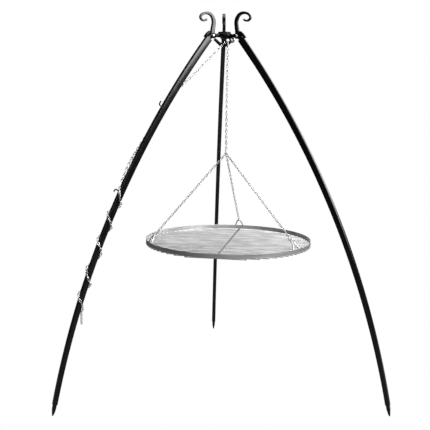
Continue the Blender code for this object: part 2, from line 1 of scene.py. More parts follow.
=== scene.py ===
import bpy
import math
from mathutils import Matrix, Vector
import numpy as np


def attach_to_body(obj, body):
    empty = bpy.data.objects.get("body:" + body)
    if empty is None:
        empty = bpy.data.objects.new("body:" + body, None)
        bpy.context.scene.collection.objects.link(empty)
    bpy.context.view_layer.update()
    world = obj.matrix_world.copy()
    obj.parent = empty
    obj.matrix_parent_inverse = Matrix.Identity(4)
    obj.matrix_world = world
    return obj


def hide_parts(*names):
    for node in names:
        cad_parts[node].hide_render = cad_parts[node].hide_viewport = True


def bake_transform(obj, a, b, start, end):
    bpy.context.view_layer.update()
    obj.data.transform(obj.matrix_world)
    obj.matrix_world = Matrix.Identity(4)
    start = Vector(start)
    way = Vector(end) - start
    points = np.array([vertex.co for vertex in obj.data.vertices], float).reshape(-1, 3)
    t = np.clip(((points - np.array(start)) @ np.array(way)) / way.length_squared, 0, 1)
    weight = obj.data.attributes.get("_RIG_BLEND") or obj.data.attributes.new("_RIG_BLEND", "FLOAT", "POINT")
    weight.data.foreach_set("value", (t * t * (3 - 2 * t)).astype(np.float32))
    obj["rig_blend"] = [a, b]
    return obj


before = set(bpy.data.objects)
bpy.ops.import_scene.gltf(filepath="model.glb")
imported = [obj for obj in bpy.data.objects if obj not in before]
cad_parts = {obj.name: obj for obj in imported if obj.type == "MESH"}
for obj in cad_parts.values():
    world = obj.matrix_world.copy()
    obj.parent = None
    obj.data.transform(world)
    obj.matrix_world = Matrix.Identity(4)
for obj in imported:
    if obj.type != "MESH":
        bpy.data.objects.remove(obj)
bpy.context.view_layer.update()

# ---- sizes shared with the frame, metres --------------------------------
LEGS = {"back": 90.0, "left": 210.0, "right": 330.0}
BAILS = {"back": 78.5, "left": 198.5, "right": 318.5}
ARC_R, ARC_Z, ARC_RADIUS = -2.948, -0.763, 3.891
ARC_TOP, ARC_BOTTOM = 38.75, 12.07
TUBE_WIDTH, TUBE_WALL = 0.020, 0.002
DEPTH_TOP, DEPTH_BOTTOM = 0.0325, 0.0205
PIVOT_R, PIVOT_Z = 0.0685, 1.686
HANG_X = 0.0165
GRATE_X = 0.0350
EYE_Z, EYE_RADIUS, EYE_WIRE = 1.668, 0.0113, 0.00325
SHACKLE_HIGH, SHACKLE_LOW, SHACKLE_HALF, SHACKLE_WIRE = 1.6558, 1.6433, 0.00675, 0.002
JUNCTION_Z, JUNCTION_RADIUS, JUNCTION_WIRE = 1.148, 0.009, 0.0025
LUG_X, LUG_Z, WASHER_Z = 0.0367, 1.6700, 1.6720
RIM_RADIUS, RIM_THICK, RIM_TOP, RIM_LOW = 0.400, 0.003, 0.727, 0.707
ROD_RADIUS, ROD_PITCH, ROD_SIDE, CROSS_RADIUS, GRATE_TURN = 0.00325, 0.025, 15, 0.004, -11.5
RIM_STEPS, WELD_SIZE, WELD_BACK = 240, 0.0024, 0.0035
BAIL_R, BAIL_Z, BAIL_WIRE = 0.3725, 0.7595, 0.003
LINK_WIRE, LINK_HALF, LINK_LENGTH = 0.002, 0.006, 0.016
CHAIN_WIRE, CHAIN_HALF, CHAIN_STRAIGHT, CHAIN_PITCH = 0.0016, 0.00365, 0.00487, 0.01384
CHAIN_CLEAR, CHAIN_BEHIND = 0.0066, 0.0060
WRAP_CROSSINGS = (26.09, 24.48, 22.69, 20.46, 18.93)
TAIL_LINKS = 4
CROSS_LIFT, CROSS_SHORT, CROSS_EDGE = 0.0008, 0.0045, 0.0006
HOOK_WIRE = 0.003
TUBE_CORNER_OUT, TUBE_CORNER_IN, CORNER_STEPS = 0.0028, 0.0012, 5
FIT_GAP, HANG_GAP, HOOK_GAP = 0.0003, 0.0004, 0.0004
BOLT_BACK, NUT_BACK, NUT_RADIUS, NUT_DEPTH = 0.0195, 0.0153, 0.0075, 0.0060
CHEEK_RADIUS, CHEEK_THICK, CHEEK_INNER, CHEEK_OUTER = 0.013, 0.004, 0.008, 0.012
LUG_RADIUS, LUG_THICK, LUG_Y = 0.0095, 0.005, 0.0215
STIRRUP_Y, BOSS_Y, WASHER_Y, PIN_Y, NUT_Y = 0.016, 0.011, 0.0045, 0.0060, 0.0299
DRUM_LOW, DISC_LOW = 1.683, 1.695
HOIST_HIGH, HOIST_LOW = 1.633, 1.1595
UP = Vector((0.0, 0.0, 1.0))
X_AXIS, Y_AXIS = Vector((1.0, 0.0, 0.0)), Vector((0.0, 1.0, 0.0))


# ---- camera, light and floor --------------------------------------------
def add_camera():
    data = bpy.data.cameras.new("camera")
    data.sensor_width = 36.0
    data.lens = 63.55
    cam = bpy.data.objects.new("camera", data)
    bpy.context.scene.collection.objects.link(cam)
    turn, yaw, pitch, roll = -0.0437, -0.0087, 0.1522, 0.0155
    distance, height = 3.6415, 1.3978
    place = Vector((0.0, -distance, height))
    ahead = Vector((math.sin(yaw) * math.cos(pitch), math.cos(yaw) * math.cos(pitch),
                    -math.sin(pitch)))
    right = Vector((math.cos(yaw), -math.sin(yaw), 0.0))
    top = right.cross(ahead)
    right, top = (right * math.cos(roll) + top * math.sin(roll),
                  top * math.cos(roll) - right * math.sin(roll))
    c, s = math.cos(turn), math.sin(turn)

    def spun(v):
        return Vector((v.x * c - v.y * s, v.x * s + v.y * c, v.z))

    right, top, back = spun(right), spun(top), spun(-ahead)
    cam.matrix_world = Matrix(((right.x, top.x, back.x, spun(place).x),
                               (right.y, top.y, back.y, spun(place).y),
                               (right.z, top.z, back.z, spun(place).z),
                               (0.0, 0.0, 0.0, 1.0)))
    data.clip_end = 100.0
    bpy.context.scene.camera = cam


def area_light(name, place, target, size_x, size_y, watts):
    data = bpy.data.lights.new(name, "AREA")
    data.shape = "RECTANGLE"
    data.size = size_x
    data.size_y = size_y
    data.energy = watts
    obj = bpy.data.objects.new(name, data)
    obj.location = place
    obj.rotation_mode = "QUATERNION"
    obj.rotation_quaternion = (Vector(target) - Vector(place)).to_track_quat("-Z", "Y")
    bpy.context.scene.collection.objects.link(obj)


def add_stage():
    mesh = bpy.data.meshes.new("floor")
    s = 30.0
    mesh.from_pydata([(-s, -s, -0.001), (s, -s, -0.001), (s, s, -0.001), (-s, s, -0.001)], [],
                     [(0, 1, 2, 3)])
    floor = bpy.data.objects.new("floor", mesh)
    bpy.context.scene.collection.objects.link(floor)
    mat = bpy.data.materials.new("pale_floor")
    mat.use_nodes = True
    shader = mat.node_tree.nodes["Principled BSDF"]
    shader.inputs["Base Color"].default_value = (0.22, 0.22, 0.22, 1.0)
    shader.inputs["Roughness"].default_value = 0.9
    shader.inputs["Specular IOR Level"].default_value = 0.0
    seen_white(mat.node_tree, shader.outputs["BSDF"], "Material Output")
    mesh.materials.append(mat)
    world = bpy.data.worlds.new("studio")
    bpy.context.scene.world = world
    world.use_nodes = True
    room = world.node_tree.nodes["Background"]
    room.inputs["Color"].default_value = (1.0, 1.0, 1.0, 1.0)
    room.inputs["Strength"].default_value = 0.05
    seen_white(world.node_tree, room.outputs["Background"], "World Output")
    bpy.context.scene.view_settings.view_transform = "Standard"
    area_light("panel_front_right", (3.1, -1.9, 2.85), (0.0, 0.0, 1.95), 2.2, 2.0, 185.0)
    area_light("panel_back_right", (3.0, 2.6, 2.75), (0.2, 0.2, 1.5), 5.0, 2.6, 145.0)
    area_light("panel_overhead", (0.0, 0.4, 4.2), (0.0, 0.0, 0.0), 3.4, 2.6, 112.0)
    area_light("panel_front", (0.0, -5.6, 2.6), (0.0, 0.0, 0.9), 3.0, 2.0, 50.0)


def seen_white(tree, lit, output):
    # The room shows as plain white paper, and lights the object as a dimmer studio.
    nodes, links = tree.nodes, tree.links
    kind = "ShaderNodeBackground" if output == "World Output" else "ShaderNodeEmission"
    paper = nodes.new(kind)
    paper.inputs["Color"].default_value = (1.0, 1.0, 1.0, 1.0)
    paper.inputs["Strength"].default_value = 1.0
    seen = nodes.new("ShaderNodeLightPath")
    mix = nodes.new("ShaderNodeMixShader")
    links.new(seen.outputs["Is Camera Ray"], mix.inputs["Fac"])
    links.new(lit, mix.inputs[1])
    links.new(paper.outputs[0], mix.inputs[2])
    links.new(mix.outputs["Shader"], nodes[output].inputs["Surface"])


add_camera()
add_stage()


# ---- materials ----------------------------------------------------------
def new_material(name):
    mat = bpy.data.materials.new(name)
    mat.use_nodes = True
    return mat, mat.node_tree.nodes, mat.node_tree.links


def add_node(nodes, kind, **settings):
    node = nodes.new(kind)
    for key, value in settings.items():
        if key in node.inputs:
            node.inputs[key].default_value = value
        else:
            setattr(node, key, value)
    return node


def ramp_node(nodes, stops):
    node = nodes.new("ShaderNodeValToRGB")
    ramp = node.color_ramp
    while len(ramp.elements) < len(stops):
        ramp.elements.new(0.5)
    for element, (place, colour) in zip(ramp.elements, stops):
        element.position = place
        element.color = (*colour, 1.0)
    return node


def drive(links, noise, node, shader, target):
    # A noise sets one input of the shader by way of a ramp, or of a bump for its normal.
    entry, leave = ("Height", "Normal") if target == "Normal" else ("Fac", "Color")
    links.new(noise.outputs["Fac"], node.inputs[entry])
    links.new(node.outputs[leave], shader.inputs[target])


def powder_coat(name, shine):
    mat, nodes, links = new_material(name)
    shader = nodes["Principled BSDF"]
    coords = nodes.new("ShaderNodeTexCoord")
    broad = add_node(nodes, "ShaderNodeTexNoise", Scale=22.0, Detail=3.0)
    fine = add_node(nodes, "ShaderNodeTexNoise", Scale=900.0, Detail=2.0)
    tint = ramp_node(nodes, ((0.30, (0.0028, 0.0028, 0.0030)), (0.72, (0.0060, 0.0058, 0.0057))))
    gloss = ramp_node(nodes, ((0.25, (0.17,) * 3), (0.75, (0.24,) * 3)))
    bump = add_node(nodes, "ShaderNodeBump", Strength=0.10, Distance=0.0003)
    for tex in (broad, fine):
        links.new(coords.outputs["Object"], tex.inputs["Vector"])
    drive(links, broad, tint, shader, "Base Color")
    drive(links, broad, gloss, shader, "Roughness")
    drive(links, fine, bump, shader, "Normal")
    shader.inputs["Specular IOR Level"].default_value = shine
    return mat


def zinc_plate(name, dark, light, rough_low, rough_high):
    mat, nodes, links = new_material(name)
    shader = nodes["Principled BSDF"]
    coords = nodes.new("ShaderNodeTexCoord")
    patch = add_node(nodes, "ShaderNodeTexNoise", Scale=160.0, Detail=4.0)
    fine = add_node(nodes, "ShaderNodeTexNoise", Scale=1500.0, Detail=2.0)
    tint = ramp_node(nodes, ((0.28, dark), (0.70, light)))
    gloss = ramp_node(nodes, ((0.25, (rough_low,) * 3), (0.75, (rough_high,) * 3)))
    bump = add_node(nodes, "ShaderNodeBump", Strength=0.06, Distance=0.0002)
    for tex in (patch, fine):
        links.new(coords.outputs["Object"], tex.inputs["Vector"])
    drive(links, patch, tint, shader, "Base Color")
    drive(links, patch, gloss, shader, "Roughness")
    drive(links, fine, bump, shader, "Normal")
    shader.inputs["Metallic"].default_value = 1.0
    return mat


def brushed_stainless(name, turn, stretch, streak, dark, light, gloss_low, gloss_high):
    mat, nodes, links = new_material(name)
    shader = nodes["Principled BSDF"]
    coords = nodes.new("ShaderNodeTexCoord")
    mapping = nodes.new("ShaderNodeMapping")
    mapping.inputs["Rotation"].default_value = (0.0, 0.0, math.radians(-turn))
    mapping.inputs["Scale"].default_value = stretch
    grain = add_node(nodes, "ShaderNodeTexNoise", Scale=60.0, Detail=5.0)
    patch = add_node(nodes, "ShaderNodeTexNoise", Scale=streak, Detail=3.0)
    tint = ramp_node(nodes, ((0.36, (dark,) * 3), (0.64, (light,) * 3)))
    gloss = ramp_node(nodes, ((0.20, (gloss_low,) * 3), (0.80, (gloss_high,) * 3)))
    bump = add_node(nodes, "ShaderNodeBump", Strength=0.10, Distance=0.0002)
    links.new(coords.outputs["Object"], mapping.inputs["Vector"])
    links.new(mapping.outputs["Vector"], grain.inputs["Vector"])
    links.new(mapping.outputs["Vector"], patch.inputs["Vector"])
    drive(links, patch, tint, shader, "Base Color")
    drive(links, grain, gloss, shader, "Roughness")
    drive(links, grain, bump, shader, "Normal")
    shader.inputs["Metallic"].default_value = 1.0
    return mat


def weld_metal():
    mat, nodes, links = new_material("tig_weld")
    shader = nodes["Principled BSDF"]
    coords = nodes.new("ShaderNodeTexCoord")
    ripple = add_node(nodes, "ShaderNodeTexNoise", Scale=700.0, Detail=2.0)
    tint = ramp_node(nodes, ((0.30, (0.34, 0.31, 0.28)), (0.70, (0.58, 0.56, 0.53))))
    bump = add_node(nodes, "ShaderNodeBump", Strength=0.25, Distance=0.0003)
    links.new(coords.outputs["Object"], ripple.inputs["Vector"])
    drive(links, ripple, tint, shader, "Base Color")
    drive(links, ripple, bump, shader, "Normal")
    shader.inputs["Metallic"].default_value = 1.0
    shader.inputs["Roughness"].default_value = 0.42
    return mat


COAT = powder_coat("satin_black_coat", 0.36)
CROWN_COAT = powder_coat("dull_black_coat", 0.10)
ZINC = zinc_plate("bright_zinc_plate", (0.62, 0.63, 0.65), (0.90, 0.90, 0.90), 0.16, 0.30)
BOLT_ZINC = zinc_plate("bolt_zinc_plate", (0.50, 0.51, 0.53), (0.80, 0.81, 0.82), 0.22, 0.36)
ROD_STEEL = brushed_stainless("brushed_rod_steel", GRATE_TURN, (1.0, 14.0, 1.0), 3.0, 0.50,
                              0.80, 0.24, 0.42)
RIM_STEEL = brushed_stainless("brushed_rim_steel", 0.0, (4.0, 4.0, 60.0), 1.5, 0.55, 0.74,
                              0.36, 0.52)
# The cross bar is the same stainless steel as the rods, but its base colour is painted much darker (0.07 to
# 0.13). This is painted shade for the bar lying under the rods and reflecting the dark room.
SHADED_BAR_STEEL = brushed_stainless("painted_shade_bar_steel", GRATE_TURN, (14.0, 1.0, 1.0), 3.0, 0.07, 0.13,
                              0.45, 0.60)
WELD = weld_metal()


# ---- mesh helpers -------------------------------------------------------
def make_piece(name, verts, faces, mat, body, cad_nodes, sharp=40.0, bevel=0.0):
    mesh = bpy.data.meshes.new(name)
    mesh.from_pydata([tuple(v) for v in verts], [], faces)
    mesh.update()
    obj = bpy.data.objects.new(name, mesh)
    bpy.context.scene.collection.objects.link(obj)
    mesh.materials.append(mat)
    if bevel > 0.0:
        mod = obj.modifiers.new("edge", "BEVEL")
        mod.width = bevel
        mod.segments = 2
        mod.limit_method = "ANGLE"
        mod.angle_limit = math.radians(35.0)
        graph = bpy.context.evaluated_depsgraph_get()
        done = bpy.data.meshes.new_from_object(obj.evaluated_get(graph))
        obj.modifiers.clear()
        obj.data = done
        bpy.data.meshes.remove(mesh)
        mesh = done
    shade(mesh, sharp)
    return attach(obj, body, cad_nodes)


def shade(mesh, sharp):
    mesh.polygons.foreach_set("use_smooth", [True] * len(mesh.polygons))
    mesh.set_sharp_from_angle(angle=math.radians(sharp))
    mesh.update()


def attach(obj, body, cad_nodes):
    if body is not None:
        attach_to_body(obj, body)
    if cad_nodes:
        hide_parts(*cad_nodes)
    return obj


class Shape:
    # Gathers closed shells, each with its faces outwards, into one piece.
    def __init__(self):
        self.verts = []
        self.faces = []

    def add(self, verts, faces):
        volume = 0.0
        for face in faces:
            a = verts[face[0]]
            for i in range(1, len(face) - 1):
                volume += a.dot(verts[face[i]].cross(verts[face[i + 1]]))
        start = len(self.verts)
        self.verts += [v.copy() for v in verts]
        for face in faces:
            ordered = face if volume > 0.0 else face[::-1]
            self.faces.append(tuple(start + i for i in ordered))

    def loft(self, rings, looped=False):
        count = len(rings[0])
        faces = []
        last = len(rings) if looped else len(rings) - 1
        for i in range(last):
            low = i * count
            high = ((i + 1) % len(rings)) * count
            for j in range(count):
                k = (j + 1) % count
                faces.append((low + j, low + k, high + k, high + j))
        if not looped:
            faces.append(tuple(range(count - 1, -1, -1)))
            top = (len(rings) - 1) * count
            faces.append(tuple(range(top, top + count)))
        self.add([v for ring in rings for v in ring], faces)

    def turned(self, start, axis, profile, sides):
        u_axis, v_axis = side_axes(axis)
        rings = []
        for along, radius in profile:
            rings.append([start + axis * along + u_axis * (radius * math.cos(a))
                          + v_axis * (radius * math.sin(a)) for a in angles(sides)])
        self.loft(rings)

    def prism(self, outline, origin, u_axis, v_axis, shift):
        low = [origin + u_axis * u + v_axis * v for u, v in outline]
        self.loft([low, [p + shift for p in low]])

    def sweep(self, points, radius, sides, looped=False, round_ends=True, first=None):
        rings = []
        count = len(points)
        across = first
        for i, p in enumerate(points):
            if looped:
                ahead = points[(i + 1) % count] - points[i - 1]
            else:
                ahead = points[min(i + 1, count - 1)] - points[max(i - 1, 0)]
            ahead.normalize()
            if across is None:
                across = side_axes(ahead)[0]
            across = (across - ahead * across.dot(ahead)).normalized()
            other = ahead.cross(across)
            ring = [(across * math.cos(a) + other * math.sin(a)) for a in angles(sides)]
            if round_ends and not looped and i == 0:
                for share in (0.15, 0.5, 0.8):
                    back = radius * math.sqrt(1.0 - share * share)
                    rings.append([p - ahead * (back * 0.8) + v * (radius * share) for v in ring])
            rings.append([p + v * radius for v in ring])
            if round_ends and not looped and i == count - 1:
                for share in (0.8, 0.5, 0.15):
                    back = radius * math.sqrt(1.0 - share * share)
                    rings.append([p + ahead * (back * 0.8) + v * (radius * share) for v in ring])
        self.loft(rings, looped)

    def piece(self, name, mat, body, cad_nodes, sharp=40.0, bevel=0.0):
        return make_piece(name, self.verts, self.faces, mat, body, cad_nodes, sharp, bevel)


def angles(sides):
    return [2.0 * math.pi * i / sides for i in range(sides)]


def side_axes(axis):
    helper = X_AXIS if abs(axis.z) > 0.9 else UP
    u_axis = axis.cross(helper).normalized()
    return u_axis, axis.cross(u_axis)


def leg_axes(azimuth):
    a = math.radians(azimuth)
    return Vector((math.cos(a), math.sin(a), 0.0)), Vector((-math.sin(a), math.cos(a), 0.0))


def plane_point(azimuth, r, z, shift=0.0):
    out, side = leg_axes(azimuth)
    return out * r + side * shift + UP * z


def tube_depth(phi):
    share = (phi - ARC_BOTTOM) / (ARC_TOP - ARC_BOTTOM)
    return DEPTH_BOTTOM + (DEPTH_TOP - DEPTH_BOTTOM) * share


def arc_point(azimuth, phi, normal_shift=0.0, side_shift=0.0):
    a = math.radians(phi)
    reach = ARC_RADIUS + normal_shift
    return plane_point(azimuth, ARC_R + reach * math.cos(a), ARC_Z + reach * math.sin(a),
                       side_shift)


def rounded_section(half_u, half_v, corner, per_corner):
    points = []
    for su, sv, start in ((1, 1, 0.0), (-1, 1, 90.0), (-1, -1, 180.0), (1, -1, 270.0)):
        for step in range(per_corner):
            a = math.radians(start + 90.0 * step / (per_corner - 1))
            points.append((su * (half_u - corner) + corner * math.cos(a),
                           sv * (half_v - corner) + corner * math.sin(a)))
    return points


def placed(section, origin, u_axis, v_axis):
    return [origin + u_axis * u + v_axis * v for u, v in section]


def spline(points, per_span):
    chain = [points[0] * 2.0 - points[1]] + list(points) + [points[-1] * 2.0 - points[-2]]
    out = []
    for i in range(1, len(chain) - 2):
        p0, p1, p2, p3 = chain[i - 1], chain[i], chain[i + 1], chain[i + 2]
        for step in range(per_span):
            t = step / per_span
            out.append((p1 * 2.0 + (p2 - p0) * t
                        + (p0 * 2.0 - p1 * 5.0 + p2 * 4.0 - p3) * t * t
                        + (p1 * 3.0 - p0 - p2 * 3.0 + p3) * t * t * t) * 0.5)
    out.append(points[-1].copy())
    return out


def stadium_path(first, second, width_axis, half, per_end=12):
    long_axis = (second - first).normalized()
    out = []
    for base, start in ((second, 0.0), (first, 180.0)):
        for i in range(per_end + 1):
            a = math.radians(start + 180.0 * i / per_end)
            out.append(base + (width_axis * math.cos(a) + long_axis * math.sin(a)) * half)
    return out


# ---- chain: a Geometry Nodes tree that sets one link at each point ------
def point_tree(name, sizes):
    tree = bpy.data.node_groups.new(name, "GeometryNodeTree")
    face = tree.interface
    face.new_socket("Geometry", in_out="INPUT", socket_type="NodeSocketGeometry")
    for label, value in sizes.items():
        item = face.new_socket(label, in_out="INPUT", socket_type="NodeSocketFloat")
        item.default_value = value
    face.new_socket("Finish", in_out="INPUT", socket_type="NodeSocketMaterial")
    face.new_socket("Geometry", in_out="OUTPUT", socket_type="NodeSocketGeometry")
    return tree, tree.nodes, tree.links, tree.nodes.new("NodeGroupInput")


def point_value(nodes, label, kind):
    node = nodes.new("GeometryNodeInputNamedAttribute")
    node.data_type = kind
    node.inputs["Name"].default_value = label
    return node


def spread_on_points(nodes, links, given, shape, turn):
    spread = nodes.new("GeometryNodeInstanceOnPoints")
    links.new(given.outputs["Geometry"], spread.inputs["Points"])
    links.new(shape.outputs["Mesh"], spread.inputs["Instance"])
    links.new(turn.outputs["Rotation"], spread.inputs["Rotation"])
    real = nodes.new("GeometryNodeRealizeInstances")
    links.new(spread.outputs["Instances"], real.inputs["Geometry"])
    finish = nodes.new("GeometryNodeSetMaterial")
    links.new(real.outputs["Geometry"], finish.inputs["Geometry"])
    links.new(given.outputs["Finish"], finish.inputs["Material"])
    result = nodes.new("NodeGroupOutput")
    links.new(finish.outputs["Geometry"], result.inputs["Geometry"])
    return spread


def link_tree():
    tree, nodes, links, given = point_tree("chain_links", {
        "Wire Radius": CHAIN_WIRE, "Link Half Width": CHAIN_HALF,
        "Link Straight": CHAIN_STRAIGHT})
    ring = nodes.new("GeometryNodeCurvePrimitiveCircle")
    ring.inputs["Resolution"].default_value = 20
    links.new(given.outputs["Link Half Width"], ring.inputs["Radius"])
    place = nodes.new("GeometryNodeInputPosition")
    split = nodes.new("ShaderNodeSeparateXYZ")
    links.new(place.outputs["Position"], split.inputs["Vector"])
    sign = nodes.new("ShaderNodeMath")
    sign.operation = "SIGN"
    links.new(split.outputs["Y"], sign.inputs[0])
    reach = nodes.new("ShaderNodeMath")
    reach.operation = "MULTIPLY"
    links.new(sign.outputs[0], reach.inputs[0])
    links.new(given.outputs["Link Straight"], reach.inputs[1])
    shift = nodes.new("ShaderNodeCombineXYZ")
    links.new(reach.outputs[0], shift.inputs["Y"])
    stretch = nodes.new("GeometryNodeSetPosition")
    links.new(ring.outputs["Curve"], stretch.inputs["Geometry"])
    links.new(shift.outputs["Vector"], stretch.inputs["Offset"])
    section = nodes.new("GeometryNodeCurvePrimitiveCircle")
    section.inputs["Resolution"].default_value = 8
    links.new(given.outputs["Wire Radius"], section.inputs["Radius"])
    body = nodes.new("GeometryNodeCurveToMesh")
    links.new(stretch.outputs["Geometry"], body.inputs["Curve"])
    links.new(section.outputs["Curve"], body.inputs["Profile Curve"])
    aim = point_value(nodes, "aim", "FLOAT_VECTOR")
    across = point_value(nodes, "across", "FLOAT_VECTOR")
    turn = nodes.new("FunctionNodeAxesToRotation")
    turn.primary_axis = "Y"
    turn.secondary_axis = "X"
    links.new(aim.outputs["Attribute"], turn.inputs["Primary Axis"])
    links.new(across.outputs["Attribute"], turn.inputs["Secondary Axis"])
    spread_on_points(nodes, links, given, body, turn)
    return tree


def run_tree(name, tree, points, vectors, floats, settings, sharp=60.0):
    mesh = bpy.data.meshes.new(name)
    mesh.from_pydata([tuple(p) for p in points], [], [])
    for label, values in vectors.items():
        attribute = mesh.attributes.new(label, "FLOAT_VECTOR", "POINT")
        attribute.data.foreach_set("vector", [c for v in values for c in v])
    for label, values in floats.items():
        attribute = mesh.attributes.new(label, "FLOAT", "POINT")
        attribute.data.foreach_set("value", list(values))
    obj = bpy.data.objects.new(name, mesh)
    bpy.context.scene.collection.objects.link(obj)
    mod = obj.modifiers.new("build", "NODES")
    mod.node_group = tree
    for item in tree.interface.items_tree:
        if item.in_out == "INPUT" and item.name in settings:
            mod[item.identifier] = settings[item.name]
    graph = bpy.context.evaluated_depsgraph_get()
    done = bpy.data.meshes.new_from_object(obj.evaluated_get(graph))
    obj.modifiers.clear()
    obj.data = done
    bpy.data.meshes.remove(mesh)
    for attribute in list(done.attributes):
        if attribute.name in vectors or attribute.name in floats:
            done.attributes.remove(attribute)
    shade(done, sharp)
    return obj


LINKS = link_tree()


def chain_piece(name, joints, start_across, end_across=None):
    # joints are the places where one link bears on the next.
    centres = [(a + b) * 0.5 for a, b in zip(joints, joints[1:])]
    aims = [(b - a).normalized() for a, b in zip(joints, joints[1:])]
    acrosses = []
    flat = start_across
    for i, aim in enumerate(aims):
        flat = (flat - aim * flat.dot(aim)).normalized()
        acrosses.append(flat.copy() if i % 2 == 0 else aim.cross(flat))
    if end_across is not None:
        want = (end_across - aims[-1] * end_across.dot(aims[-1])).normalized()
        last = acrosses[-1]
        twist = math.atan2(last.cross(want).dot(aims[-1]), last.dot(want))
        if twist > math.pi / 2.0:
            twist -= math.pi
        if twist < -math.pi / 2.0:
            twist += math.pi
        for i, aim in enumerate(aims):
            a = twist * i / (len(aims) - 1)
            acrosses[i] = acrosses[i] * math.cos(a) + aim.cross(acrosses[i]) * math.sin(a)
    return run_tree(name, LINKS, centres, {"aim": aims, "across": acrosses}, {},
                    {"Finish": ZINC})


def even_joints(points, pitch):
    # Walks along a dense path, dropping a joint each time the straight step is one pitch.
    out = [points[0].copy()]
    i = 0
    here = points[0].copy()
    while True:
        j = i + 1
        while j < len(points) and (points[j] - here).length < pitch:
            j += 1
        if j >= len(points):
            return out
        a, b = points[j - 1], points[j]
        low, high = 0.0, 1.0
        for _ in range(24):
            mid = (low + high) / 2.0
            if (a.lerp(b, mid) - here).length < pitch:
                low = mid
            else:
                high = mid
        here = a.lerp(b, high)
        out.append(here.copy())
        i = j - 1


def straight_joints(start, end, count):
    return [start.lerp(end, i / count) for i in range(count + 1)]


def hoist_links():
    top = SHACKLE_LOW - SHACKLE_HALF + SHACKLE_WIRE - HANG_GAP
    low = JUNCTION_Z + JUNCTION_RADIUS - JUNCTION_WIRE
    count = 2 * int((top - low) / CHAIN_PITCH / 2.0) + 1
    joints = straight_joints(Vector((HANG_X, 0.0, top)), Vector((HANG_X, 0.0, low)), count)
    obj = chain_piece("hoist_links", joints, X_AXIS)
    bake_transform(obj, "hoist", "junction", (HANG_X, 0.0, HOIST_HIGH), (HANG_X, 0.0, HOIST_LOW))
    attach(obj, None, ["hoist_chain"])


def bail_frame(key):
    out, side = leg_axes(BAILS[key])
    apex = Vector((GRATE_X, 0.0, 0.0)) + out * BAIL_R + UP * BAIL_Z
    return out, side, apex, (Vector((HANG_X, 0.0, JUNCTION_Z)) - apex).normalized()


def branch_links():
    seats = {"back": 48.0, "left": 4.0, "right": -36.0}
    for key, swing in seats.items():
        side, apex, toward = bail_frame(key)[1:]
        a = math.radians(swing)
        round_ring = Vector((0.0, math.sin(a), -math.cos(a)))
        top = Vector((HANG_X, 0.0, JUNCTION_Z)) + round_ring * JUNCTION_RADIUS
        low = apex + toward * (LINK_LENGTH + LINK_HALF)
        run = (low - top).normalized()
        top = top - run * JUNCTION_WIRE
        low = low + run * LINK_WIRE
        count = round((low - top).length / CHAIN_PITCH)
        along_wire = Vector((0.0, math.cos(a), math.sin(a)))
        obj = chain_piece("branch_links_" + key, straight_joints(top, low, count),
                          along_wire.cross(run).normalized(), side)
        attach(obj, "grate", ["branch_chain_" + key])


def wrap_point(phi, turn):
    half_n = tube_depth(phi) / 2.0 + CHAIN_CLEAR
    half_s = TUBE_WIDTH / 2.0 + CHAIN_CLEAR
    a = math.radians(turn)
    c = abs(math.cos(a)) / half_n
    s = abs(math.sin(a)) / half_s
    reach = 1.0 / (c ** 4 + s ** 4) ** 0.25
    return arc_point(LEGS["left"], phi, reach * math.cos(a), reach * math.sin(a))


def leg_links():
    azimuth = LEGS["left"]
    behind = -(TUBE_WIDTH / 2.0 + CHAIN_BEHIND)
    near = arc_point(azimuth, 34.4, -tube_depth(34.4) / 2.0 - 0.004, behind)
    eye = Vector((HANG_X, 0.0, EYE_Z))
    toward = (near - eye).normalized()
    ring_side = Vector((toward.x, 0.0, toward.z)).normalized()
    start = eye + Vector((-0.94, 0.0, -0.34)) * (EYE_RADIUS - EYE_WIRE)
    points = [start, start.lerp(near, 0.35), start.lerp(near, 0.7), near,
              arc_point(azimuth, 31.6, -0.001, behind),
              arc_point(azimuth, 29.2, tube_depth(29.2) / 2.0 + 0.001, behind),
              arc_point(azimuth, 28.3, tube_depth(28.3) / 2.0 + CHAIN_CLEAR, -0.010),
              arc_point(azimuth, 27.6, tube_depth(27.6) / 2.0 + 0.0070, -0.004),
              arc_point(azimuth, 27.05, tube_depth(27.05) / 2.0 + 0.0072, 0.0)]
    run = chain_piece("leg_run_links", even_joints(spline(points, 40), CHAIN_PITCH),
                      ring_side.cross(Y_AXIS))
    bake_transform(run, "crown", "leg_left", tuple(start), tuple(near))
    attach(run, None, ["leg_chain_run"])
    knots = [(26.85, 4.0)]
    for k, phi in enumerate(WRAP_CROSSINGS):
        knots.append((phi, 90.0 + 360.0 * k))
    knots.append((18.30, knots[-1][1] + 94.0))
    dense = []
    for (phi_a, turn_a), (phi_b, turn_b) in zip(knots, knots[1:]):
        for i in range(80):
            t = i / 80.0
            dense.append(wrap_point(phi_a + (phi_b - phi_a) * t, turn_a + (turn_b - turn_a) * t))
    joints = even_joints(dense, CHAIN_PITCH)
    outwards = leg_axes(azimuth)[0]
    wrap = chain_piece("wrapped_links", joints, (outwards + UP).normalized())
    attach(wrap, "leg_left", ["wrapped_chain"])
    end = joints[-1]
    low = end - UP * (CHAIN_PITCH * TAIL_LINKS)
    tail = chain_piece("tail_links", straight_joints(end, low, TAIL_LINKS),
                       Vector((0.6, 0.8, 0.0)))
    attach(tail, "tail", ["chain_tail"])


hoist_links()
branch_links()
leg_links()


